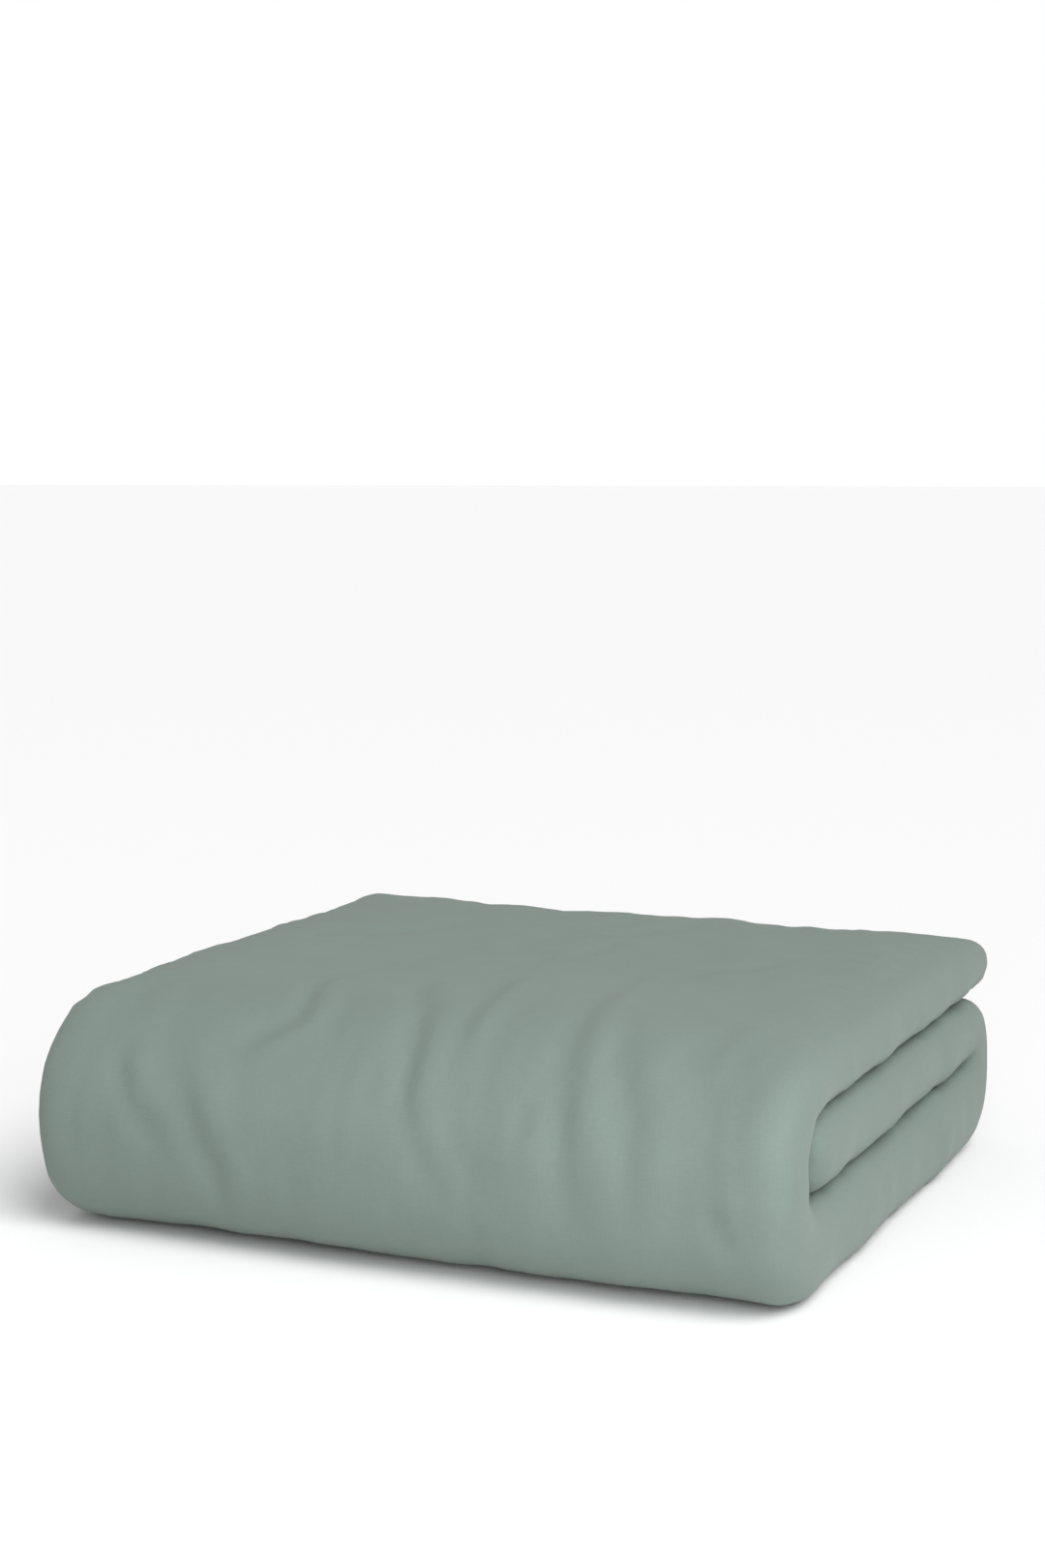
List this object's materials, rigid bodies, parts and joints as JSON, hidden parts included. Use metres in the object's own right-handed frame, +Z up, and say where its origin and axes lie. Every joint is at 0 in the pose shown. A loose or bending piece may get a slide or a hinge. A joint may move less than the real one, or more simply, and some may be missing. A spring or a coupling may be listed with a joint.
{
  "type": "folded duvet",
  "caption": "Plump duvet in a sage cotton cover, folded in half and then in three into a storage pack whose top leaf unrolls over the front.",
  "frame": {"origin": "centre of the pack's base, on the surface that it lies on", "axes": "+X towards the lengthwise fold, away from the side seams; +Y towards the back fold, away from the front roll; +Z up"},
  "size_m": [0.75, 0.7098, 0.218],
  "materials": {
    "cover_cotton": "matt washed plain-weave cotton",
    "hem_cotton": "matt plain-weave cotton, folded and stitched",
    "ticking": "matt downproof cotton",
    "filling": "lofty fibre",
    "piping": "matt cotton cord cover",
    "button_shell": "semi-gloss, shell-like",
    "sewing_thread": "matt twisted thread",
    "tie_tape": "matt woven tape",
    "loop_tape": "matt woven tape",
    "label_tape": "satin tape, blank"
  },
  "bodies": {
    "base": {"front_panel_bottom": "cover_cotton", "front_panel_back_fold": "cover_cotton", "front_panel_middle": "cover_cotton", "back_panel_bottom": "cover_cotton", "back_panel_back_fold": "cover_cotton", "back_panel_middle": "cover_cotton", "front_panel_roll_0": "cover_cotton", "back_panel_roll_0": "cover_cotton", "insert_shell_roll_0": "ticking", "fill_roll_0": "filling", "insert_piping_roll_0": "piping", "insert_shell_bottom": "ticking", "insert_shell_back_fold": "ticking", "insert_shell_middle": "ticking", "fill_bottom_outer": "filling", "fill_bottom_inner": "filling", "fill_back_fold": "filling", "fill_middle_outer": "filling", "fill_middle_inner": "filling", "insert_piping_base": "piping", "hem_front": "hem_cotton", "hem_back": "hem_cotton", "buttons": "button_shell", "button_threads": "sewing_thread", "corner_ties_foot": "tie_tape", "corner_loops_foot": "loop_tape", "care_label": "label_tape"},
    "roll_low": {"front_panel_roll_1": "cover_cotton", "back_panel_roll_1": "cover_cotton", "insert_shell_roll_1": "ticking", "fill_roll_1": "filling", "insert_piping_roll_1": "piping"},
    "roll_front": {"front_panel_roll_2": "cover_cotton", "back_panel_roll_2": "cover_cotton", "insert_shell_roll_2": "ticking", "fill_roll_2": "filling", "insert_piping_roll_2": "piping"},
    "roll_high": {"front_panel_roll_3": "cover_cotton", "back_panel_roll_3": "cover_cotton", "insert_shell_roll_3": "ticking", "fill_roll_3": "filling", "insert_piping_roll_3": "piping"},
    "top_leaf": {"front_panel_roll_4": "cover_cotton", "back_panel_roll_4": "cover_cotton", "insert_shell_roll_4": "ticking", "fill_roll_4": "filling", "insert_piping_roll_4": "piping", "front_panel_top": "cover_cotton", "back_panel_top": "cover_cotton", "insert_shell_top": "ticking", "fill_top_outer": "filling", "fill_top_inner": "filling", "insert_piping_top": "piping", "corner_ties_head": "tie_tape", "corner_loops_head": "loop_tape"}
  },
  "joints": [
    {"name": "roll_turn_1", "type": "hinge", "parent": "base", "child": "roll_low", "pos_m": [0, -0.2888, 0.00566], "axis": [1, 0, 0], "range_deg": [0, 45]},
    {"name": "roll_turn_2", "type": "hinge", "parent": "roll_low", "child": "roll_front", "pos_m": [0, -0.34934, 0.0662], "axis": [1, 0, 0], "range_deg": [0, 45]},
    {"name": "roll_turn_3", "type": "hinge", "parent": "roll_front", "child": "roll_high", "pos_m": [0, -0.34934, 0.1518], "axis": [1, 0, 0], "range_deg": [0, 45]},
    {"name": "roll_turn_4", "type": "hinge", "parent": "roll_high", "child": "top_leaf", "pos_m": [0, -0.2888, 0.21234], "axis": [1, 0, 0], "range_deg": [0, 45]}
  ],
  "couplings": [
    {"joint": "roll_turn_2", "follows": "roll_turn_1", "ratio": 1},
    {"joint": "roll_turn_3", "follows": "roll_turn_1", "ratio": 1},
    {"joint": "roll_turn_4", "follows": "roll_turn_1", "ratio": 1}
  ]
}
